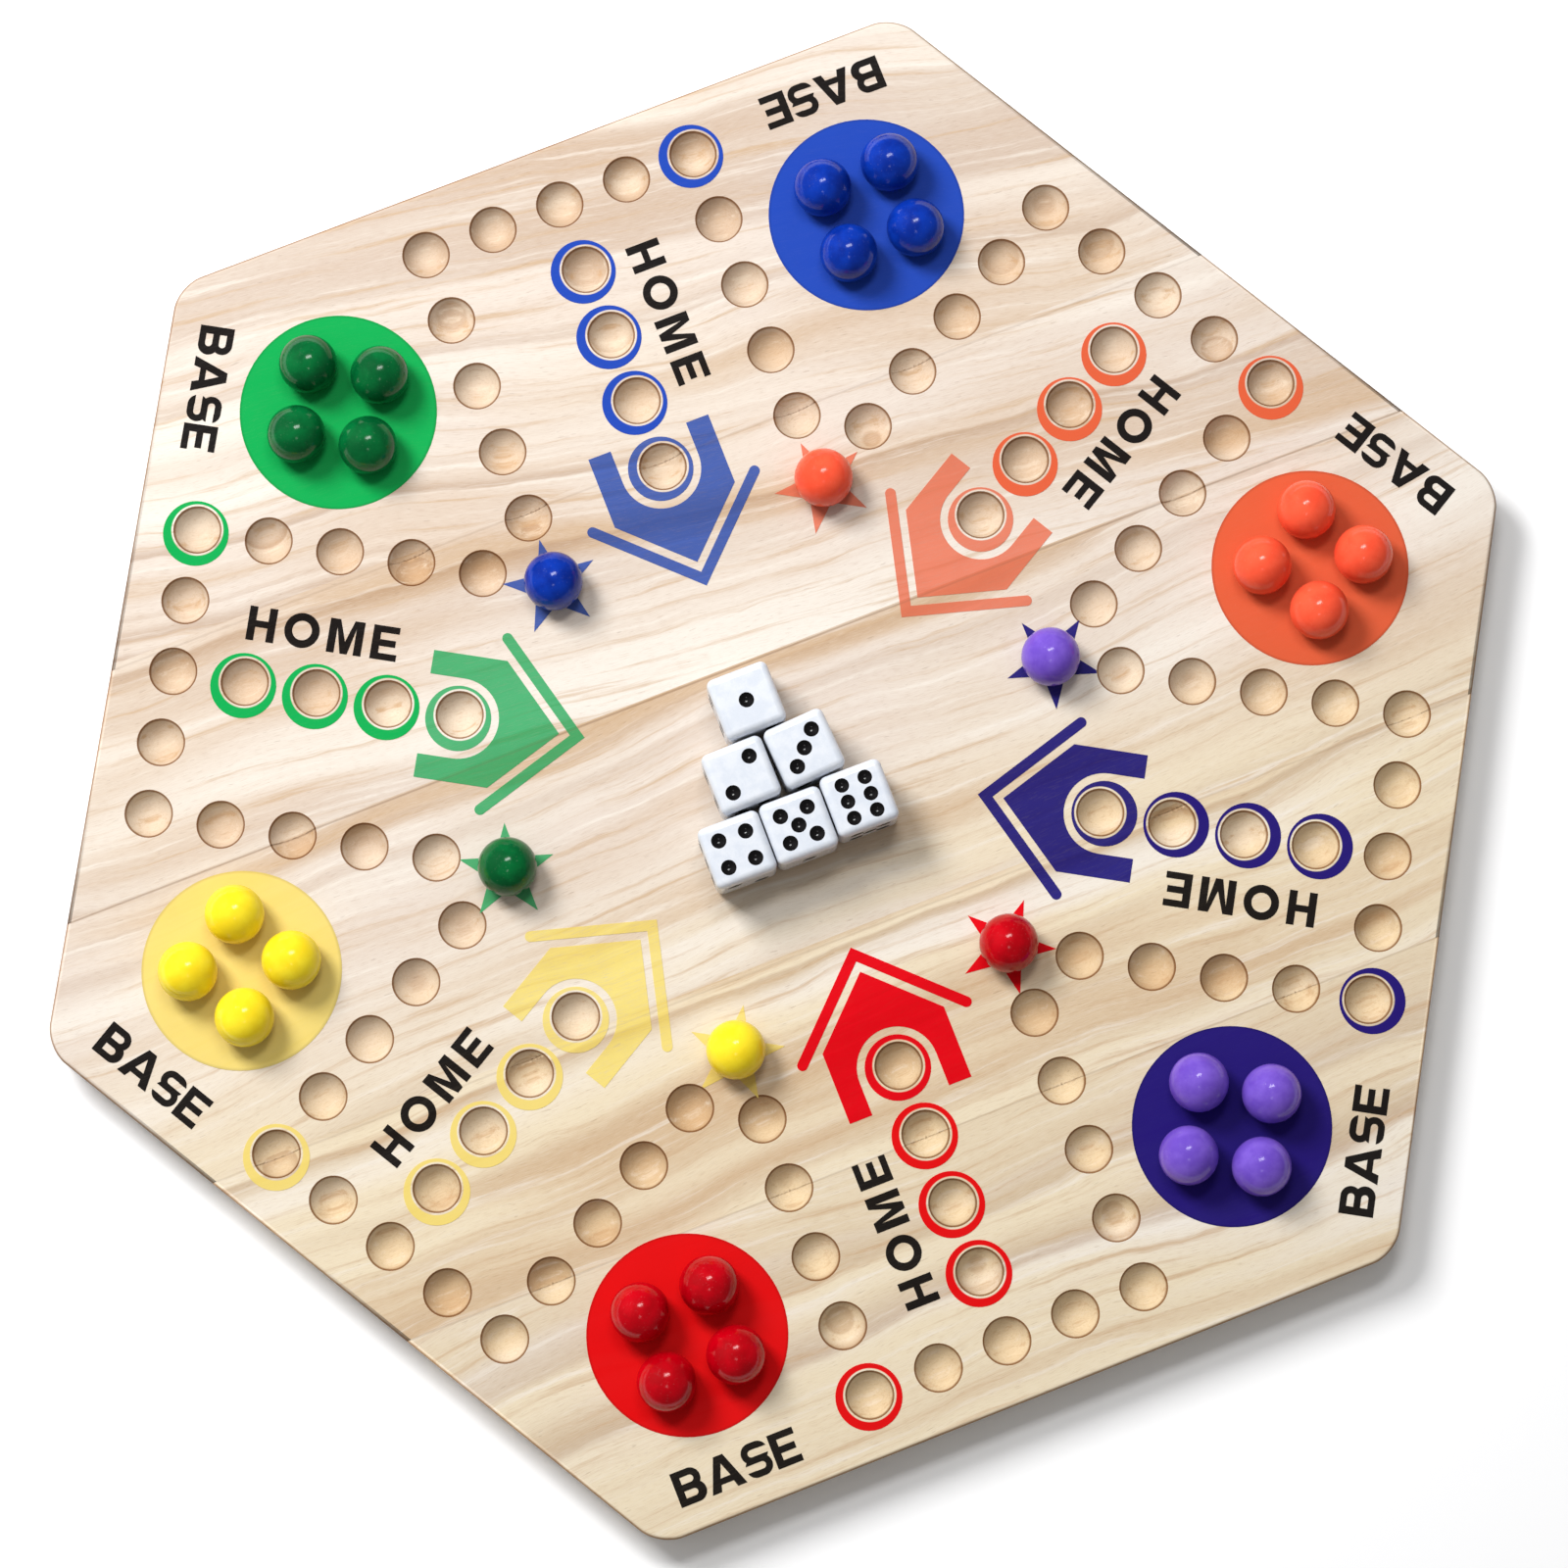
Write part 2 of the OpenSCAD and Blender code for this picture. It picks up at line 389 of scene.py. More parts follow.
@dataclass(frozen=True)
class PineFinish:
    """Flat-sawn pine, edge-glued from five staves, under a thin satin varnish."""

    # Each glue line's place across the grain, and how dark it is
    seams_mm: tuple[float, ...] = (-97.0, -45.0, 26.0, 80.0)
    seam_shares: tuple[float, ...] = (0.2, 0.16, 0.42, 0.16)

    # For each stave: its heart's offset across the grain and its depth in mm, and the grain's slope
    hearts: tuple[Triple, ...] = (
        (-134.0, 90.0, 0.0),
        (-78.0, 38.0, 0.01),
        (-14.0, 55.0, 0.02),
        (38.0, 48.0, -0.1),
        (150.0, 60.0, -0.16),
    )
    # What the lookup of the hearts can hold: a width across the grain, and the three values' ranges
    lookup_mm: float = 400.0
    lookup_ranges: Triple = (200.0, 200.0, 2.0)
    # Sets each stave's noise apart from the next one's
    stave_step: float = 3.7

    # Darker patches: along and across the grain, and their reach, in mm
    patches: tuple[Triple, ...] = (
        (-125.0, 50.0, 55.0),
        (85.0, 52.0, 40.0),
        (150.0, -14.0, 45.0),
        (-60.0, 84.0, 40.0),
        (20.0, 154.0, 46.0),
        (96.0, 98.0, 52.0),
    )

    rosy: RGB = srgb(232, 218, 205)
    cream: RGB = srgb(239, 223, 193)
    pale: RGB = srgb(247, 239, 228)
    tan: RGB = srgb(206, 172, 134)
    streak: RGB = srgb(168, 128, 92)
    fleck: RGB = srgb(120, 84, 56)
    # Painted shade: multiplied into the eased top edge and, weaker, into the sides and the bottom
    edge_shade_tone: RGB = srgb(172, 140, 110)
    end_grain: RGB = srgb(240, 226, 205)
    torn_fibre: RGB = srgb(186, 150, 112)
    # Painted shade: multiplied into the upper wall of each hole, just below its mouth
    hole_rim_shade: RGB = srgb(150, 112, 76)
    exposure: float = 0.83

    # The spacing of the growth rings and how far it varies, and the wander of the grain
    ring_mm: float = 4.6
    crowding: float = 5.0
    sway_mm: float = 17.0
    ripple_mm: float = 3.0

    # How fine each pattern is along the grain, across it and down, per mm
    streak_grain: Triple = (0.014, 0.42, 0.5)
    fibre_grain: Triple = (0.33, 6.0, 6.0)
    pore_grain: Triple = (0.3, 2.6, 2.6)

    # How much of each layer shows where it is strongest
    patch_share: float = 0.3
    pale_bands: float = 0.9
    tan_bands: float = 0.8
    late_wood: float = 0.46
    tan_streaks: float = 0.72
    pale_streaks: float = 0.6
    dark_fibres: float = 0.26
    pale_fibres: float = 0.2
    open_pores: float = 0.24

    def heart(self, bench: Bench, y: Any) -> tuple[Any, ...]:
        """Looks up the heart of the stave that holds a place.

        Args:
            bench: The grain's bench.
            y: The place across the grain, in mm.

        Returns:
            The heart's offset and depth, in mm, and the grain's slope.
        """
        starts = [0.0] + [seam / self.lookup_mm + 0.5 for seam in self.seams_mm]
        stops = [
            (start, tuple(value / limit + 0.5 for value, limit in zip(heart, self.lookup_ranges)))
            for start, heart in zip(starts, self.hearts)
        ]
        where = bench.math("MULTIPLY_ADD", y, 1 / self.lookup_mm, 0.5)
        values = bench.add("ShaderNodeSeparateColor")
        bench.feed(values.inputs[0], bench.steps(where, stops))
        return tuple(bench.swing(values.outputs[i], self.lookup_ranges[i]) for i in range(3))

    def growth(self, bench: Bench, radius: Any, stave: Any) -> Any:
        """Draws the late wood of the growth rings.

        Args:
            bench: The grain's bench.
            radius: The distance from the heart, in mm.
            stave: The stave's own number for its noise.

        Returns:
            One in the darkest late wood and zero in early wood.
        """
        crowd = bench.noise(bench.join(bench.times(radius, 0.09), 0.0, stave), 1, 1)
        spaced = bench.math("DIVIDE", radius, self.ring_mm)
        ring = bench.plus(spaced, bench.times(crowd, self.crowding))
        turn = bench.math("FRACT", ring)
        late = bench.times(bench.span(turn, 0.2, 0.82), bench.span(turn, 0.84, 1.0, 1.0, 0.0))
        year = bench.noise(bench.join(bench.math("FLOOR", ring), stave, 0.0), 3.1, 0)
        return bench.times(late, bench.span(year, 0.38, 0.68, 0.1, 1.0))

    def ground(self, bench: Bench, x: Any, y: Any, sway: Any) -> Any:
        """Mixes the wood's ground colour, with its darker patches.

        Args:
            bench: The grain's bench.
            x: The place along the grain, in mm.
            y: The place across it.
            sway: The grain's slow wander, around one half.

        Returns:
            The colour.
        """
        warm = bench.plus(bench.span(y, 8.0, -60.0), bench.swing(sway, 0.8))
        dusk: Any = 0.0
        for along, across, reach in self.patches:
            dx = bench.math("DIVIDE", bench.minus(x, along), reach)
            dy = bench.math("DIVIDE", bench.minus(y, across), 0.45 * reach)
            off = bench.plus(bench.math("POWER", dx, 2.0), bench.math("POWER", dy, 2.0))
            dusk = bench.plus(dusk, bench.span(off, 1.6, 0.0, 0.0, self.patch_share))
        return bench.blend(dusk, bench.blend(warm, self.rosy, self.cream), self.tan)

    def seams(self, bench: Bench, y: Any) -> Any:
        """Draws the glue lines.

        Args:
            bench: The grain's bench.
            y: The place across the grain, in mm.

        Returns:
            How much of the glue line shows.
        """
        seam: Any = 0.0
        for line, share in zip(self.seams_mm, self.seam_shares):
            apart = bench.math("ABSOLUTE", bench.minus(y, line))
            seam = bench.plus(seam, bench.span(apart, 0.1, 0.38, share, 0.0))
        return seam

    def group(self) -> bpy.types.NodeTree:
        """Makes the grain's node group, so that the wood under thin ink is the same wood.

        Returns:
            The group, with outputs Colour, Height and Gloss.
        """
        tree = bpy.data.node_groups.new("pine_grain", "ShaderNodeTree")
        tree.interface.new_socket("Colour", in_out="OUTPUT", socket_type="NodeSocketColor")
        for name in ("Height", "Gloss"):
            tree.interface.new_socket(name, in_out="OUTPUT", socket_type="NodeSocketFloat")
        bench = Bench(tree)
        x, y, z = bench.split(bench.place())
        heart_y, heart_z, slope = self.heart(bench, y)
        stave = bench.times(heart_y, self.stave_step)

        sway = bench.noise(bench.scaled((x, y, stave), (0.011, 0.016, 1.0)), 1, 1)
        ripple = bench.noise(bench.scaled((x, y, stave), (0.045, 0.07, 1.0)), 1, 2)
        across = bench.minus(y, bench.times(x, slope))
        across = bench.plus(across, bench.swing(sway, self.sway_mm))
        across = bench.plus(across, bench.swing(ripple, self.ripple_mm))
        radius = bench.length(bench.minus(across, heart_y), bench.plus(z, heart_z))
        late = self.growth(bench, radius, stave)

        bands = bench.noise(bench.scaled((x, across, stave), (0.0035, 0.055, 1.0)), 1, 2, 0.4)
        streaks = bench.noise(bench.scaled((x, across, z), self.streak_grain), 1, 4, 0.62)
        fibres = bench.noise(bench.scaled((x, across, z), self.fibre_grain), 1, 2, 0.6)
        pores = bench.noise(bench.scaled((x, across, z), self.pore_grain), 1, 1, 0.5)
        seam = self.seams(bench, y)

        colour = self.ground(bench, x, y, sway)
        layers = (
            (bench.span(bands, 0.5, 0.7, 0.0, self.pale_bands), self.pale),
            (bench.span(bands, 0.48, 0.28, 0.0, self.tan_bands), self.tan),
            (bench.times(late, self.late_wood), self.streak),
            (bench.span(streaks, 0.52, 0.72, 0.0, self.tan_streaks), self.tan),
            (bench.span(streaks, 0.47, 0.27, 0.0, self.pale_streaks), self.pale),
            (bench.span(fibres, 0.5, 0.75, 0.0, self.dark_fibres), self.streak),
            (bench.span(fibres, 0.5, 0.25, 0.0, self.pale_fibres), self.pale),
            (bench.span(pores, 0.715, 0.78, 0.0, self.open_pores), self.fleck),
            (seam, self.fleck),
        )
        for share, tone in layers:
            colour = bench.blend(share, colour, tone)

        height = bench.minus(0.6, bench.span(fibres, 0.35, 0.75, 0.0, 0.35))
        height = bench.minus(height, bench.span(pores, 0.7, 0.78, 0.0, 0.4))
        output = bench.add("NodeGroupOutput")
        bench.feed(output.inputs["Colour"], bench.dim(colour, self.exposure))
        bench.feed(output.inputs["Height"], bench.minus(height, seam))
        bench.feed(output.inputs["Gloss"], bench.span(fibres, 0.3, 0.7, 0.46, 0.58))
        return tree

    def grain(self, bench: Bench) -> bpy.types.Node:
        """Puts the shared grain into a material."""
        tree = bpy.data.node_groups.get("pine_grain") or self.group()
        return bench.add("ShaderNodeGroup", node_tree=tree)

    def planed(self) -> bpy.types.Material:
        """Makes the planed and varnished faces' material, with painted shade on the eased top edge
        and, weaker, on the sides and the bottom.

        Returns:
            The material.
        """
        material, bench = new_material("pine_planed")
        wood = self.grain(bench)
        *_, z = bench.split(bench.place())
        # Painted shade: strongest on the eased top edge, weaker on everything below it
        below_top = bench.span(z, 11.99, 11.7, 0.0, 0.9)
        painted_edge_shade = bench.minus(below_top, bench.span(z, 11.4, 10.6, 0.0, 0.62))
        surface(
            bench,
            Base_Color=bench.blend(painted_edge_shade, wood.outputs["Colour"], self.edge_shade_tone, "MULTIPLY"),
            Roughness=wood.outputs["Gloss"],
            Normal=bench.relief(wood.outputs["Height"], 0.35, 0.06),
            Specular_IOR_Level=0.14,
        )
        return material

    def drilled(self) -> bpy.types.Material:
        """Makes the holes' material: the same wood, cut across the grain and a little rougher, with
        painted shade round each mouth.

        Returns:
            The material.
        """
        material, bench = new_material("pine_drilled")
        wood = self.grain(bench)
        *_, z = bench.split(bench.place())
        # Painted shade: darkest at the mouth, fading out about 0.85 mm down the wall
        painted_rim_shade = bench.span(z, 11.15, 11.8, 0.0, 0.9)
        fuzz = bench.noise(bench.place(), 1.9, 3, 0.7)
        colour = bench.blend(0.7, wood.outputs["Colour"], self.end_grain, "MULTIPLY")
        colour = bench.blend(bench.span(fuzz, 0.5, 0.75, 0.0, 0.3), colour, self.torn_fibre)
        colour = bench.blend(painted_rim_shade, colour, self.hole_rim_shade, "MULTIPLY")
        tool_marks = bench.math("SINE", bench.times(z, 16.0))
        surface(
            bench,
            Base_Color=colour,
            Roughness=0.66,
            Normal=bench.relief(bench.plus(bench.times(tool_marks, 0.1), fuzz), 0.4, 0.12),
            Specular_IOR_Level=0.1,
        )
        return material


@dataclass(frozen=True)
class InkFinish:
    """Screen-printed ink: dense on the base and the outer rings, thin on the house and the star."""

    dense: RGB
    thin: RGB
    # How far the print lies from the drilled holes
    shift_mm: Pair = (0.0, 0.0)
    cover_dense: float = 0.99
    cover_thin: float = 0.95
    exposure: float = 0.78
    # The ink is dense from here outwards along the arm
    dense_from_mm: float = 87.6
    # The base disc's darker edge, from its inner side to the disc's edge
    edge_mm: Triple = (23.3, 23.9, 24.5)
    edge_share: float = 0.35
    # The rings leave bare wood round their holes, out to this radius
    bare_r_mm: float = 6.34
    bare_blur_mm: float = 0.12
    # How thin ink brightens the wood that it stains
    wood_boost: RGB = (1.6, 1.8, 2.1)
    layout: Layout = Layout()

    def arm_frame(self, bench: Bench, x: Any, y: Any, arm: float) -> tuple[Any, Any]:
        """Turns x and y into distances along an arm and aside of it.

        Args:
            bench: The ink's bench.
            x: The place along the grain, in mm.
            y: The place across it.
            arm: The arm's direction, in degrees.

        Returns:
            The two distances' outputs, in mm.
        """
        cosine, sine = math.cos(math.radians(arm)), math.sin(math.radians(arm))
        along = bench.plus(bench.times(x, cosine), bench.times(y, sine))
        aside = bench.minus(bench.times(x, sine), bench.times(y, cosine))
        return along, aside

    def bare_wood(self, bench: Bench, along: Any, aside: Any) -> Any:
        """Finds the wood that the rings leave bare round their holes.

        Args:
            bench: The ink's bench.
            along: The distance along the arm, in mm.
            aside: The distance aside of it.

        Returns:
            One on bare wood and zero elsewhere.
        """
        first, half = self.layout.row(1), self.layout.pitch / 2
        start_along, start_aside = self.layout.start
        home = bench.length(bench.math("WRAP", bench.minus(along, first), half, -half), aside)
        start = bench.length(bench.minus(along, start_along), bench.minus(aside, start_aside))
        inner, outer = self.bare_r_mm - self.bare_blur_mm, self.bare_r_mm + self.bare_blur_mm
        bare = bench.span(bench.math("MINIMUM", home, start), inner, outer, 1.0, 0.0)
        return bench.times(bare, bench.math("GREATER_THAN", along, first - half))

    def dense_ink(self, bench: Bench, mottle: Any, along: Any, aside: Any) -> Any:
        """Mixes the dense ink, with a darker edge round the base disc.

        Args:
            bench: The ink's bench.
            mottle: The slow noise of the ink's thickness.
            along: The distance along the arm within the print, in mm.
            aside: The distance aside of it.

        Returns:
            The colour.
        """
        off_along = bench.minus(along, self.layout.base_along)
        away = bench.length(off_along, bench.minus(aside, self.layout.base_aside))
        inner, full, outer = self.edge_mm
        edge = bench.times(bench.span(away, inner, full), bench.math("LESS_THAN", away, outer))
        heavy = tuple(0.8 * c for c in self.dense)
        dense = bench.blend(bench.span(mottle, 0.4, 0.65, 0.0, 0.1), self.dense, heavy)
        shaded = tuple(0.45 * c for c in self.dense)
        return bench.blend(bench.times(edge, self.edge_share), dense, shaded)

    def cover(self, bench: Bench, solid: Any, mesh: Any, height: Any) -> Any:
        """Works out how much of the wood the ink hides, with skips over the open grain.

        Args:
            bench: The ink's bench.
            solid: One where the ink is dense.
            mesh: The screen's noise.
            height: The wood's height.

        Returns:
            The share that is hidden.
        """
        gaps = 1.6 * (1.0 - self.cover_thin)
        skips = bench.times(
            bench.span(height, 0.42, 0.3), bench.span(solid, 0.0, 1.0, gaps, 0.2 * gaps)
        )
        extra = bench.times(solid, self.cover_dense - self.cover_thin)
        cover = bench.minus(bench.plus(extra, self.cover_thin), skips)
        return bench.minus(cover, bench.span(mesh, 0.62, 0.75, 0.0, 0.5 * gaps))

    def material(self, name: str, arm: float, pine: PineFinish) -> bpy.types.Material:
        """Makes the ink of one colour.

        Args:
            name: The material's name.
            arm: The direction of the colour's arm, in degrees.
            pine: The wood below it.

        Returns:
            The material.
        """
        material, bench = new_material(name)
        wood = pine.grain(bench)
        tone, height = wood.outputs["Colour"], wood.outputs["Height"]
        x, y, _ = bench.split(bench.place())
        bare = self.bare_wood(bench, *self.arm_frame(bench, x, y, arm))
        printed_x, printed_y = bench.minus(x, self.shift_mm[0]), bench.minus(y, self.shift_mm[1])
        along, aside = self.arm_frame(bench, printed_x, printed_y, arm)

        mottle = bench.noise(bench.place(), 0.11, 3, 0.6)
        mesh = bench.noise(bench.place(), 2.4, 2, 0.6)
        solid = bench.math("GREATER_THAN", along, self.dense_from_mm)
        dense = self.dense_ink(bench, mottle, along, aside)
        heavy = tuple(0.82 * c for c in self.thin)
        thin = bench.blend(bench.span(mottle, 0.4, 0.65, 0.0, 0.18), self.thin, heavy)
        ink = bench.dim(bench.blend(solid, thin, dense), self.exposure)
        bright = bench.blend(1.0, tone, self.wood_boost, "MULTIPLY")
        stained = bench.blend(0.4, ink, bench.blend(1.0, ink, bright, "MULTIPLY"))
        cover = self.cover(bench, solid, mesh, height)
        colour = bench.blend(cover, tone, bench.blend(solid, stained, ink))
        surface(
            bench,
            Base_Color=bench.blend(bare, colour, tone),
            Roughness=bench.span(mesh, 0.35, 0.65, 0.46, 0.56),
            Normal=bench.relief(
                bench.plus(bench.times(height, 0.6), bench.times(mesh, 0.5)), 0.3, 0.04
            ),
            Specular_IOR_Level=0.03,
        )
        return material


@dataclass(frozen=True)
class GlassFinish:
    """Opaque coloured glass, polished, with faint clouds."""

    body: RGB
    depth: RGB
    speck: RGB = (1.0, 1.0, 1.0)

    def material(self, name: str) -> bpy.types.Material:
        """Makes one colour's glass.

        Args:
            name: The material's name.

        Returns:
            The material.
        """
        material, bench = new_material(name)
        clouds = bench.noise(bench.place(), 0.17, 4, 0.55)
        specks = bench.noise(bench.place(), 2.2, 1, 0.5)
        colour = bench.blend(bench.span(clouds, 0.35, 0.65), self.body, self.depth)
        surface(
            bench,
            Base_Color=bench.blend(bench.span(specks, 0.66, 0.8, 0.0, 0.03), colour, self.speck),
            Roughness=bench.span(clouds, 0.3, 0.7, 0.12, 0.16),
            Normal=bench.relief(clouds, 0.02, 0.1),
            Specular_IOR_Level=0.32,
        )
        return material


@dataclass(frozen=True)
class DieFinish:
    """White moulded acrylic with black painted pips."""

    white: RGB = srgb(230, 234, 241)
    cool: RGB = srgb(219, 225, 235)
    paint: RGB = srgb(8, 7, 8)
    thin_paint: RGB = srgb(18, 17, 18)
    exposure: float = 0.86

    def moulding(self) -> bpy.types.Material:
        """Makes the white body's material.

        Returns:
            The material.
        """
        material, bench = new_material("die_white_acrylic")
        haze = bench.noise(bench.place(), 0.3, 3, 0.6)
        grain = bench.noise(bench.place(), 7.0, 2, 0.6)
        colour = bench.blend(bench.span(haze, 0.35, 0.65), self.white, self.cool)
        surface(
            bench,
            Base_Color=bench.dim(colour, self.exposure),
            Roughness=bench.span(grain, 0.3, 0.7, 0.2, 0.3),
            Normal=bench.relief(grain, 0.12, 0.02),
            Specular_IOR_Level=0.5,
            Coat_Weight=0.2,
            Coat_Roughness=0.08,
        )
        return material

    def pip_paint(self) -> bpy.types.Material:
        """Makes the pips' black enamel.

        Returns:
            The material.
        """
        material, bench = new_material("die_pip_enamel")
        brush = bench.noise(bench.place(), 3.0, 2, 0.6)
        surface(
            bench,
            Base_Color=bench.blend(bench.span(brush, 0.3, 0.7), self.paint, self.thin_paint),
            Roughness=bench.span(brush, 0.3, 0.7, 0.12, 0.18),
            Normal=bench.relief(brush, 0.05, 0.03),
            Specular_IOR_Level=0.5,
        )
        return material


@dataclass
class BallHollow:
    """A round hollow cut by a ball-nosed tool, made once and set into many places.

    Its sizes are in metres. The lip is the eased edge round its mouth.
    """

    mouth_r: float
    depth: float
    lip: float
    segments: int
    rings: int
    lip_drop: float = 0.35
    merge_within: float = 1e-7

    def template(self) -> bpy.types.Mesh:
        """Spins the hollow's wall, with its mouth round the origin and its bottom below.

        Returns:
            The wall as a mesh, open at the mouth.
        """
        ball = (self.mouth_r**2 + self.depth**2) / (2 * self.depth)
        reach = math.asin(self.mouth_r / ball)
        bm = bmesh.new()
        profile = [bm.verts.new((self.mouth_r + self.lip, 0.0, 0.0))]
        for i in range(self.rings + 1):
            angle = reach * (1 - i / self.rings)
            drop = ball * math.cos(angle) - ball * math.cos(reach)
            ease = self.lip * self.lip_drop if i == 0 else 0.0
            profile.append(bm.verts.new((ball * math.sin(angle), 0.0, -drop - ease)))
        edges = [bm.edges.new(pair) for pair in zip(profile, profile[1:])]
        bmesh.ops.spin(
            bm,
            geom=profile + edges,
            cent=(0, 0, 0),
            axis=(0, 0, 1),
            angle=math.tau,
            steps=self.segments,
            use_merge=True,
        )
        bmesh.ops.remove_doubles(bm, verts=bm.verts, dist=self.merge_within)
        bmesh.ops.recalc_face_normals(bm, faces=bm.faces)
        lowest = min(bm.faces, key=lambda f: f.calc_center_median().z)
        if lowest.normal.z < 0:
            bmesh.ops.reverse_faces(bm, faces=bm.faces)
        mesh = bpy.data.meshes.new("hollow")
        bm.to_mesh(mesh)
        bm.free()
        return mesh

    def sink(
        self, bm: bmesh.types.BMesh, face: bmesh.types.BMFace, places: Iterable[Matrix], finish: int
    ) -> None:
        """Sinks the hollow into a flat face at each place, and closes the face round the mouths.

        Args:
            bm: The mesh that holds the face.
            face: The face, which is filled again with triangles.
            places: Where each hollow goes, with its own z pointing out of the face.
            finish: The material index of the hollows.
        """
        normal = face.normal.copy()
        base = face.material_index
        template = self.template()
        field = bmesh.new()
        for place in places:
            count = len(field.verts)
            field.from_mesh(template)
            field.verts.ensure_lookup_table()
            bmesh.ops.transform(field, matrix=place, verts=field.verts[count:])
        for wall in field.faces:
            wall.material_index = finish
            wall.smooth = True
        field.to_mesh(template)
        field.free()
        bmesh.ops.delete(bm, geom=[face], context="FACES_ONLY")
        bm.from_mesh(template)
        bpy.data.meshes.remove(template)
        close_flat(bm, [e for e in bm.edges if e.is_boundary], normal, base, dissolve=False)


def close_flat(
    bm: bmesh.types.BMesh,
    edges: Sequence[bmesh.types.BMEdge],
    normal: Vector,
    finish: int,
    dissolve: bool,
) -> None:
    """Fills flat outlines with triangles that face one way.

    Args:
        bm: The mesh.
        edges: The outlines, with those of any holes in them.
        normal: Which way the triangles face.
        finish: Their material index.
        dissolve: Whether triangles that needn't be apart are joined.
    """
    filled = bmesh.ops.triangle_fill(
        bm, edges=edges, use_beauty=True, use_dissolve=dissolve, normal=normal
    )
    for part in filled["geom"]:
        if isinstance(part, bmesh.types.BMFace):
            part.material_index = finish
            part.smooth = False
            if part.normal.dot(normal) < 0:
                part.normal_flip()


def finished(
    bm: bmesh.types.BMesh, name: str, materials: Sequence[bpy.types.Material]
) -> bpy.types.Object:
    """Turns a bmesh into an object at the origin.

    Args:
        bm: The finished shape, which is freed.
        name: The object's name.
        materials: Its materials, in index order.

    Returns:
        The object, linked to the scene.
    """
    mesh = bpy.data.meshes.new(name)
    bm.to_mesh(mesh)
    bm.free()
    for material in materials:
        mesh.materials.append(material)
    piece = bpy.data.objects.new(name, mesh)
    bpy.context.scene.collection.objects.link(piece)
    return piece


@dataclass
class Board:
    """The edge-glued board: a hexagon with eased edges, drilled, and sawn along its glue seams.

    Its sizes are in mm.
    """

    across_flats: float = 328.0
    thickness: float = 12.0
    corner_r: float = 10.5
    corner_segments: int = 14
    edge_ease: float = 1.0
    ease_segments: int = 5
    mouth_r: float = 5.7
    cutter_r: float = 6.35
    lip: float = 0.16
    hole_segments: int = 48
    hole_rings: int = 8
    layout: Layout = Layout()
    pine: PineFinish = PineFinish()

    def hole_places(self) -> list[Vector]:
        """Works out where the holes are.

        Returns:
            Each hole's centre on the top face, in metres.
        """
        places = []
        for camp in Camp:
            turn = math.radians(camp.value)
            for along, aside in self.layout.holes():
                x = along * math.cos(turn) + aside * math.sin(turn)
                y = along * math.sin(turn) - aside * math.cos(turn)
                places.append(Vector((x, y, self.thickness)) * MM)
        return places

    def blank(self) -> bmesh.types.BMesh:
        """Shapes the board before it is drilled.

        Returns:
            A closed hexagonal slab with round corners and eased edges.
        """
        bm = bmesh.new()
        half_corner = math.radians(30)
        radius = self.across_flats / 2 / math.cos(half_corner) * MM
        made = bmesh.ops.create_circle(bm, cap_ends=True, segments=6, radius=radius)
        if abs(made["verts"][0].co.y) > 1e-6:
            turned = Matrix.Rotation(half_corner, 3, "Z")
            bmesh.ops.rotate(bm, verts=bm.verts, cent=(0, 0, 0), matrix=turned)
        bmesh.ops.bevel(
            bm,
            geom=list(bm.verts),
            offset=self.corner_r * math.tan(half_corner) * MM,
            offset_type="OFFSET",
            segments=self.corner_segments,
            profile=0.5,
            affect="VERTICES",
            material=-1,
        )
        grown = bmesh.ops.extrude_face_region(bm, geom=list(bm.faces))
        risen = [v for v in grown["geom"] if isinstance(v, bmesh.types.BMVert)]
        bmesh.ops.translate(bm, verts=risen, vec=(0, 0, self.thickness * MM))
        bmesh.ops.recalc_face_normals(bm, faces=bm.faces)
        # An edge between a side and the top or the bottom has one level face and one upright face
        rims = [e for e in bm.edges if len({abs(f.normal.z) > 0.9 for f in e.link_faces}) == 2]
        bmesh.ops.bevel(
            bm,
            geom=rims,
            offset=self.edge_ease * MM,
            offset_type="OFFSET",
            segments=self.ease_segments,
            profile=0.5,
            affect="EDGES",
            material=-1,
            clamp_overlap=True,
        )
        for face in bm.faces:
            face.smooth = abs(face.normal.z) < 0.999
        return bm

    def drill(self, bm: bmesh.types.BMesh) -> None:
        """Drills all the holes into the top of the blank.

        Args:
            bm: The blank.
        """
        top = max(bm.faces, key=lambda f: (f.normal.z > 0.99) * f.calc_area())
        rise = math.sqrt(self.cutter_r**2 - self.mouth_r**2)
        hollow = BallHollow(
            mouth_r=self.mouth_r * MM,
            depth=(self.cutter_r - rise) * MM,
            lip=self.lip * MM,
            segments=self.hole_segments,
            rings=self.hole_rings,
        )
        hollow.sink(bm, top, [Matrix.Translation(p) for p in self.hole_places()], 1)

    def saw(self, whole: bmesh.types.BMesh, low: float, high: float) -> bmesh.types.BMesh:
        """Cuts one stave out of a copy of the board.

        Args:
            whole: The drilled board.
            low: The stave's lower seam, in mm across the grain.
            high: Its upper seam.

        Returns:
            The stave, closed along its seams.
        """
        bm = whole.copy()
        for line, outwards in ((low, -1), (high, 1)):
            if abs(line) >= self.across_flats / 2:
                continue
            normal = Vector((0, outwards, 0))
            cut = bmesh.ops.bisect_plane(
                bm,
                geom=list(bm.verts) + list(bm.edges) + list(bm.faces),
                dist=1e-8,
                plane_co=(0, line * MM, 0),
                plane_no=normal,
                clear_outer=True,
            )
            edges = [e for e in cut["geom_cut"] if isinstance(e, bmesh.types.BMEdge)]
            close_flat(bm, [e for e in edges if e.is_boundary], normal, 0, dissolve=True)
        return bm

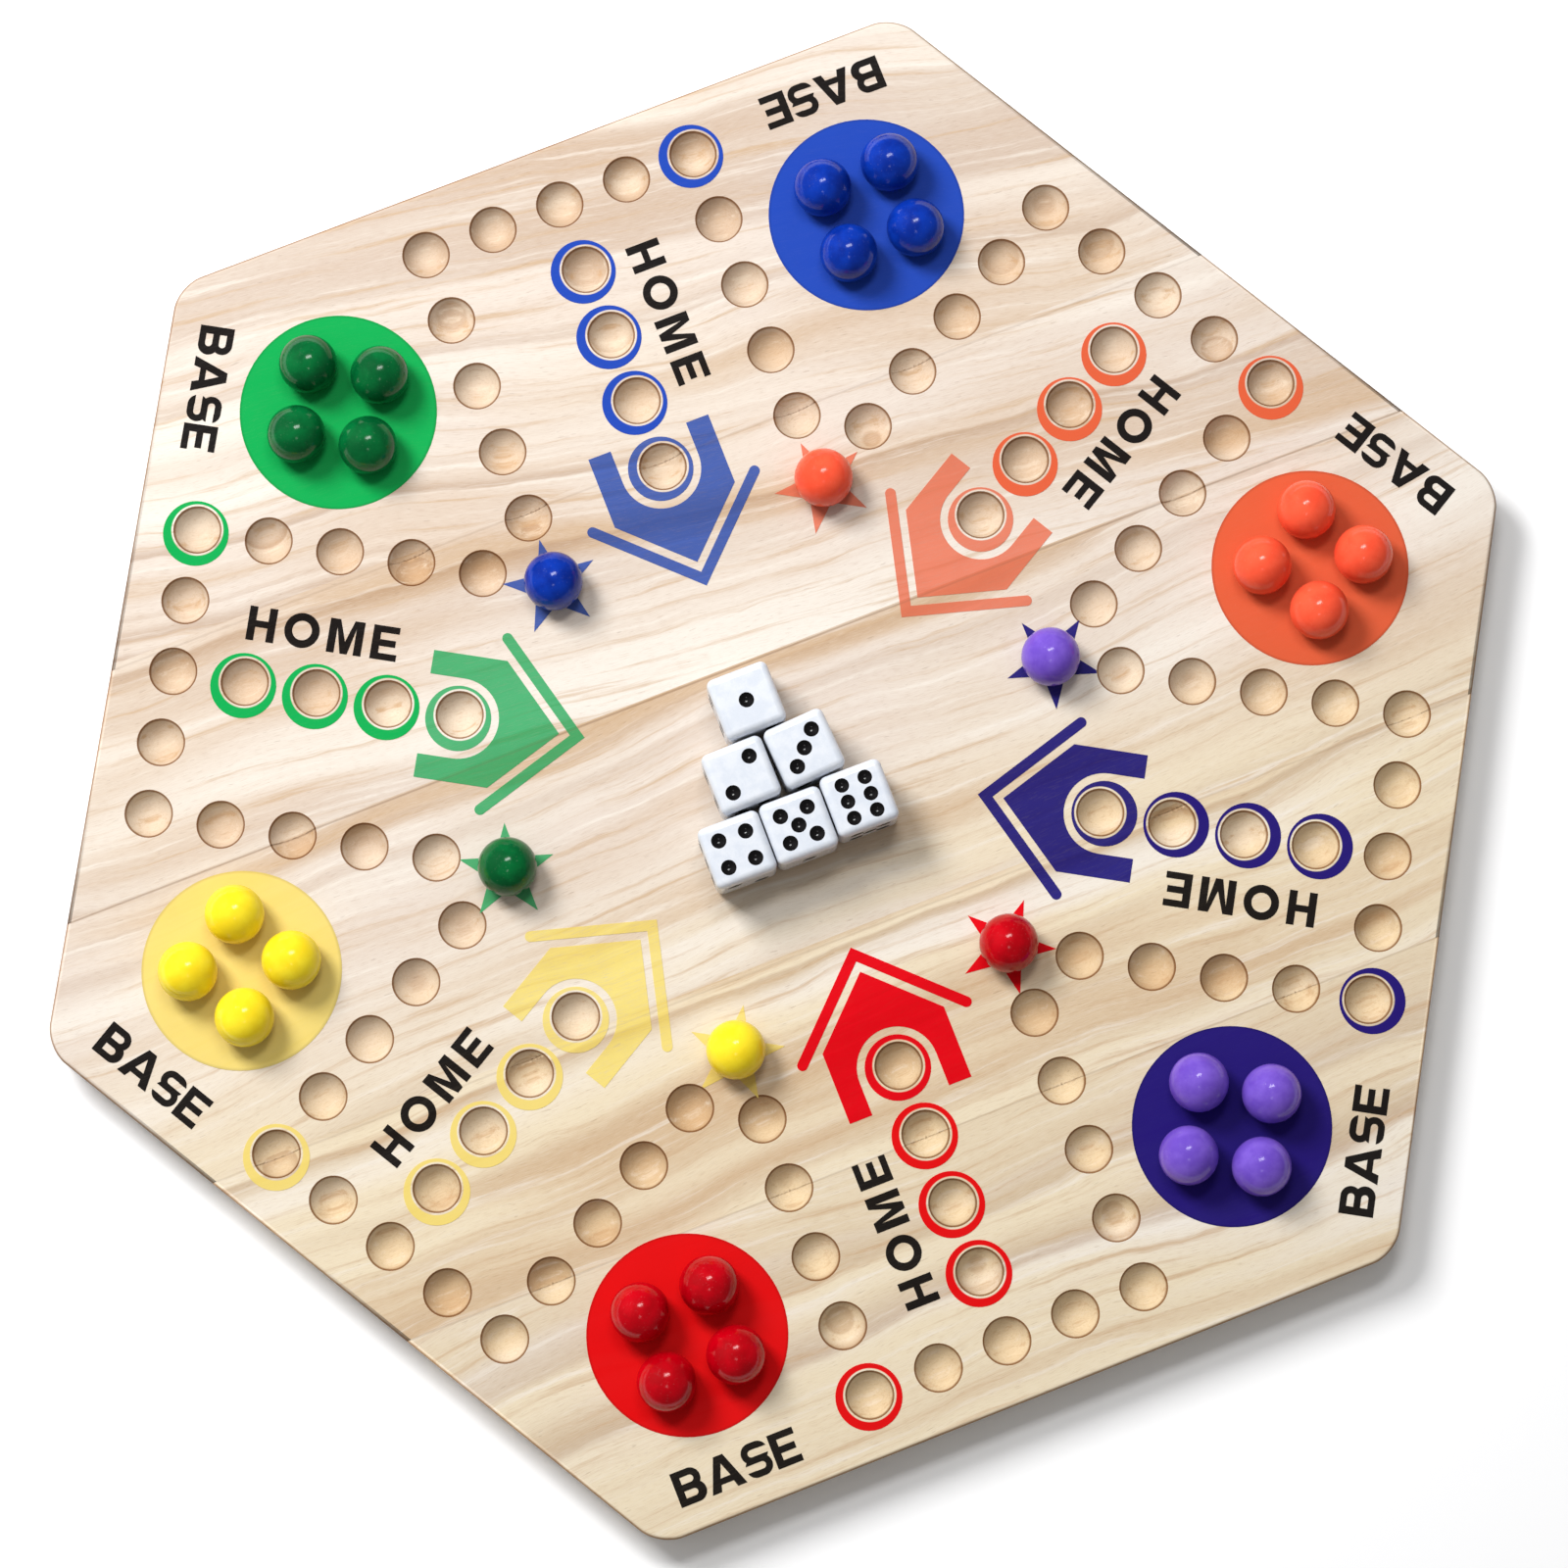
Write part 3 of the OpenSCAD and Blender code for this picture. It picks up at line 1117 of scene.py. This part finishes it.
    def build(self) -> list[bpy.types.Object]:
        """Makes the staves.

        Returns:
            The five staves, from the red side to the blue side.
        """
        whole = self.blank()
        self.drill(whole)
        materials = [self.pine.planed(), self.pine.drilled()]
        limits = [-self.across_flats, *self.pine.seams_mm, self.across_flats]
        staves = []
        for number, (low, high) in enumerate(zip(limits, limits[1:]), start=1):
            piece = finished(self.saw(whole, low, high), f"pine_stave_{number}", materials)
            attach(piece, "board")
            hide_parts(f"stave_{number}")
            log.info("%s: %d faces", piece.name, len(piece.data.polygons))
            staves.append(piece)
        whole.free()
        return staves


def dress(name: str, material: bpy.types.Material) -> bpy.types.Object:
    """Gives a CAD node one material.

    Args:
        name: The node's name.
        material: Its only material.

    Returns:
        The node.
    """
    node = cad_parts[name]
    node.data.materials.clear()
    node.data.materials.append(material)
    log.info("%s: %s", name, material.name)
    return node


@dataclass
class Printing:
    """The six players' printed zones and the zone names, which keep their CAD shapes."""

    pine: PineFinish
    inks: dict[Camp, InkFinish]
    black: RGB = srgb(20, 17, 18)

    def build(self) -> None:
        """Gives every printed node its ink."""
        for camp, ink in self.inks.items():
            material = ink.material(f"{camp.word}_screen_ink", camp.value, self.pine)
            dress(f"{camp.word}_print", material)
        letters = InkFinish(
            dense=self.black, thin=self.black, cover_thin=0.99, edge_share=0.0, bare_r_mm=0.0
        )
        dress("zone_lettering", letters.material("black_screen_ink", 0.0, self.pine))


@dataclass
class Marbles:
    """The thirty glass marbles, which keep their CAD shapes."""

    glass: dict[Camp, GlassFinish]
    in_base: int = 4

    def build(self) -> None:
        """Gives every marble its glass."""
        for camp, finish in self.glass.items():
            material = finish.material(f"{camp.word}_marble_glass")
            names = [f"{camp.word}_marble_{k}" for k in range(1, self.in_base + 1)]
            for name in [*names, f"{camp.word}_star_marble"]:
                dress(name, material).data.shade_smooth()


@dataclass
class Dice:
    """The six dice, which lie in a triangle on the board, each with its own number up.

    Their sizes are in mm. The six face has smaller pips, set further along the face.
    """

    edge: float = 15.5
    rounding: float = 1.8
    rounding_segments: int = 6
    pip_r: float = 1.86
    six_pip_r: float = 1.76
    pip_depth: float = 0.8
    pip_lip: float = 0.06
    pip_segments: int = 28
    pip_rings: int = 4
    spread: Pair = (3.41, 3.41)
    six_spread: Pair = (2.93, 4.17)
    # How far each die is turned about its upright axis, in degrees
    turns: tuple[float, ...] = (0.0, 0.6, 3.5, -0.7, -0.7, -0.6)
    finish: DieFinish = DieFinish()

    def pip_steps(self, count: int) -> list[Pair]:
        """Works out a face's pip places.

        Args:
            count: How many pips the face has.

        Returns:
            Each pip's place on the face, in mm from its middle.
        """
        wide, tall = self.six_spread if count == 6 else self.spread
        steps = [(0.0, 0.0)] if count % 2 else []
        if count > 1:
            steps += [(-wide, -tall), (wide, tall)]
        if count > 3:
            steps += [(-wide, tall), (wide, -tall)]
        if count == 6:
            steps += [(-wide, 0.0), (wide, 0.0)]
        return steps

    def face_turn(self, count: int) -> Matrix:
        """Gives the turn that brings the face with that many pips to the top.

        Args:
            count: How many pips the face has.

        Returns:
            The turn. Opposite faces add up to seven.
        """
        turns = ((0, 0, 0), (-90, 0, 0), (0, -90, 0), (0, 90, 0), (90, 0, 0), (180, 0, 0))
        x, y, z = (math.radians(a) for a in turns[count - 1])
        about_z, about_y = Matrix.Rotation(z, 4, "Z"), Matrix.Rotation(y, 4, "Y")
        return about_z @ about_y @ Matrix.Rotation(x, 4, "X")

    def shape(self, up: int) -> bmesh.types.BMesh:
        """Makes a die at the origin.

        Args:
            up: The number on its top face.

        Returns:
            The die, with pips sunk into all six faces.
        """
        bm = bmesh.new()
        bmesh.ops.create_cube(bm, size=self.edge * MM)
        bmesh.ops.bevel(
            bm,
            geom=list(bm.edges),
            offset=self.rounding * MM,
            offset_type="OFFSET",
            segments=self.rounding_segments,
            profile=0.5,
            affect="EDGES",
            material=-1,
        )
        for face in bm.faces:
            face.smooth = True
        top = self.face_turn(up)
        for count in range(1, 7):
            outer = self.six_pip_r if count == 6 else self.pip_r
            hollow = BallHollow(
                mouth_r=(outer - self.pip_lip) * MM,
                depth=self.pip_depth * MM,
                lip=self.pip_lip * MM,
                segments=self.pip_segments,
                rings=self.pip_rings,
            )
            place = top @ self.face_turn(count).inverted()
            out = place.to_3x3() @ Vector((0, 0, 1))
            flat = max(bm.faces, key=lambda f: (f.normal.dot(out) > 0.999) * f.calc_area())
            pips = [
                place @ Matrix.Translation(Vector((x, y, self.edge / 2)) * MM)
                for x, y in self.pip_steps(count)
            ]
            hollow.sink(bm, flat, pips, 1)
        return bm

    def build(self) -> None:
        """Makes the dice in their places."""
        materials = [self.finish.moulding(), self.finish.pip_paint()]
        for number, turn in enumerate(self.turns, start=1):
            low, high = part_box(f"die_{number}")
            bm = self.shape(number)
            turned = Matrix.Rotation(math.radians(turn), 4, "Z")
            placed = Matrix.Translation((low + high) / 2) @ turned
            bmesh.ops.transform(bm, verts=bm.verts, matrix=placed)
            piece = finished(bm, f"acrylic_die_{number}", materials)
            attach(piece, f"die_{number}")
            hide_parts(f"die_{number}")
            log.info("%s: %d faces", piece.name, len(piece.data.polygons))


@dataclass(frozen=True)
class SoftBox:
    """A lamp that faces the board.

    It hangs at a place from the board's middle, in metres, with its width and height in metres,
    its power in watts, and its twist about its own axis in degrees. A mirrored one shows as a
    highlight on glossy faces.
    """

    name: str
    at: Triple
    size: Pair
    power: float
    twist: float = 0.0
    mirrored: bool = True

    def hang(self, centre: Vector) -> None:
        """Hangs the lamp.

        Args:
            centre: The board's middle.
        """
        lamp = bpy.data.lights.new(self.name, "AREA")
        lamp.shape = "RECTANGLE"
        lamp.size, lamp.size_y = self.size
        lamp.energy = self.power
        holder = bpy.data.objects.new(self.name, lamp)
        holder.location = centre + Vector(self.at)
        facing = (-Vector(self.at)).to_track_quat("-Z", "Y").to_matrix()
        twisted = facing @ Matrix.Rotation(math.radians(self.twist), 3, "Z")
        holder.rotation_euler = twisted.to_euler()
        holder.visible_glossy = self.mirrored
        bpy.context.scene.collection.objects.link(holder)


@dataclass
class Studio:
    """A white floor, soft lights, white surroundings and the camera."""

    centre: Vector
    camera_at: Triple = (-0.0558, -0.1142, 1.0172)
    camera_turn: Triple = (6.904, -0.650, -21.349)
    lens_mm: float = 95.93
    sensor_mm: float = 36.0
    floor_size: float = 3.0
    floor_white: RGB = (0.96, 0.96, 0.965)
    boxes: tuple[SoftBox, ...] = (
        SoftBox("key_softbox", (-0.39, 0.84, 0.90), (0.45, 0.45), 17.6, mirrored=False),
        SoftBox("high_window", (0.14, 0.36, 0.95), (0.36, 0.17), 3.2, twist=21.0),
        SoftBox("small_lamp", (-0.15, -0.38, 0.95), (0.12, 0.12), 0.2),
    )
    # The surroundings are brightest in one direction, and dimmer in reflections
    glow_from: Triple = (-0.52, 0.56, 0.645)
    glow_focus: float = 5.0
    glow: float = 0.5
    ambient: float = 0.24
    mirrored_loss: float = 0.6

    def lay_floor(self) -> None:
        """Lays the white paper that the board lies on."""
        bm = bmesh.new()
        bmesh.ops.create_grid(bm, x_segments=2, y_segments=2, size=self.floor_size)
        material, bench = new_material("white_paper")
        grain = bench.noise(bench.place(), 0.4, 3, 0.6)
        roughness = bench.span(grain, 0.3, 0.7, 0.85, 0.95)
        surface(bench, Base_Color=self.floor_white, Roughness=roughness)
        floor = finished(bm, "floor", [material])

    def light_room(self) -> None:
        """Sets the white surroundings, with their soft glow."""
        world = bpy.data.worlds.new("white_room")
        bpy.context.scene.world = world
        world.use_nodes = True
        room = Bench(world.node_tree)
        towards = room.add("ShaderNodeVectorMath", operation="DOT_PRODUCT")
        room.feed(towards.inputs[0], room.add("ShaderNodeTexCoord").outputs["Generated"])
        towards.inputs[1].default_value = Vector(self.glow_from).normalized()
        facing = room.math("MAXIMUM", towards.outputs["Value"], 0.0)
        lobe = room.math("POWER", facing, self.glow_focus)
        glow = room.math("MULTIPLY_ADD", lobe, self.glow, self.ambient)
        mirrored = room.add("ShaderNodeLightPath").outputs["Is Glossy Ray"]
        kept = room.math("MULTIPLY_ADD", mirrored, -self.mirrored_loss, 1.0)
        sky = room.add("ShaderNodeBackground")
        sky.inputs["Color"].default_value = (1.0, 1.0, 1.0, 1.0)
        room.feed(sky.inputs["Strength"], room.times(glow, kept))
        output = room.add("ShaderNodeOutputWorld")
        room.feed(output.inputs["Surface"], sky.outputs["Background"])

    def aim_camera(self) -> None:
        """Sets the camera and plain display colours."""
        scene = bpy.context.scene
        lens = bpy.data.cameras.new("camera")
        lens.lens = self.lens_mm
        lens.sensor_width = self.sensor_mm
        camera = bpy.data.objects.new("camera", lens)
        camera.location = self.camera_at
        camera.rotation_euler = tuple(math.radians(angle) for angle in self.camera_turn)
        scene.collection.objects.link(camera)
        scene.camera = camera
        scene.view_settings.view_transform = "Standard"
        scene.view_settings.look = "None"

    def build(self) -> None:
        """Sets the floor, the lights, the surroundings and the camera."""
        self.lay_floor()
        for box in self.boxes:
            box.hang(self.centre)
        self.light_room()
        self.aim_camera()
        log.info("studio: floor, lights and camera")


INKS: dict[Camp, InkFinish] = {
    Camp.GREEN: InkFinish(srgb(0, 176, 84), srgb(62, 172, 108), (-0.65, -0.65), cover_thin=0.96),
    Camp.BLUE: InkFinish(srgb(30, 74, 186), srgb(58, 90, 172), (-0.7, -0.3), cover_thin=0.965),
    Camp.ORANGE: InkFinish(srgb(234, 100, 62), srgb(230, 124, 94), (-0.45, -1.05)),
    Camp.PURPLE: InkFinish(srgb(34, 18, 120), srgb(35, 27, 122), (0.8, -0.6), cover_thin=0.985),
    Camp.RED: InkFinish(srgb(236, 0, 10), srgb(232, 0, 22), (-0.35, -0.3), cover_thin=0.995),
    Camp.YELLOW: InkFinish(
        srgb(248, 221, 112), srgb(244, 220, 108), (-0.3, -0.75), cover_dense=0.9, cover_thin=0.85
    ),
}
GLASS: dict[Camp, GlassFinish] = {
    Camp.GREEN: GlassFinish(srgb(4, 100, 48), srgb(2, 80, 38)),
    Camp.BLUE: GlassFinish(srgb(10, 52, 162), srgb(6, 38, 134)),
    Camp.ORANGE: GlassFinish(srgb(244, 90, 60), srgb(236, 78, 50)),
    Camp.PURPLE: GlassFinish(srgb(120, 88, 198), srgb(104, 72, 184)),
    Camp.RED: GlassFinish(srgb(190, 0, 18), srgb(164, 0, 12)),
    Camp.YELLOW: GlassFinish(srgb(246, 222, 44), srgb(240, 210, 30)),
}


def main() -> None:
    """Builds the board, its printing, the marbles, the dice and the studio, in that order."""
    logging.basicConfig(level=logging.INFO, format="%(name)s: %(message)s")
    board = Board()
    board.build()
    Printing(board.pine, INKS).build()
    Marbles(GLASS).build()
    Dice().build()
    Studio(centre=Vector((0.0, 0.0, board.thickness * MM))).build()


if __name__ == "__main__":
    main()
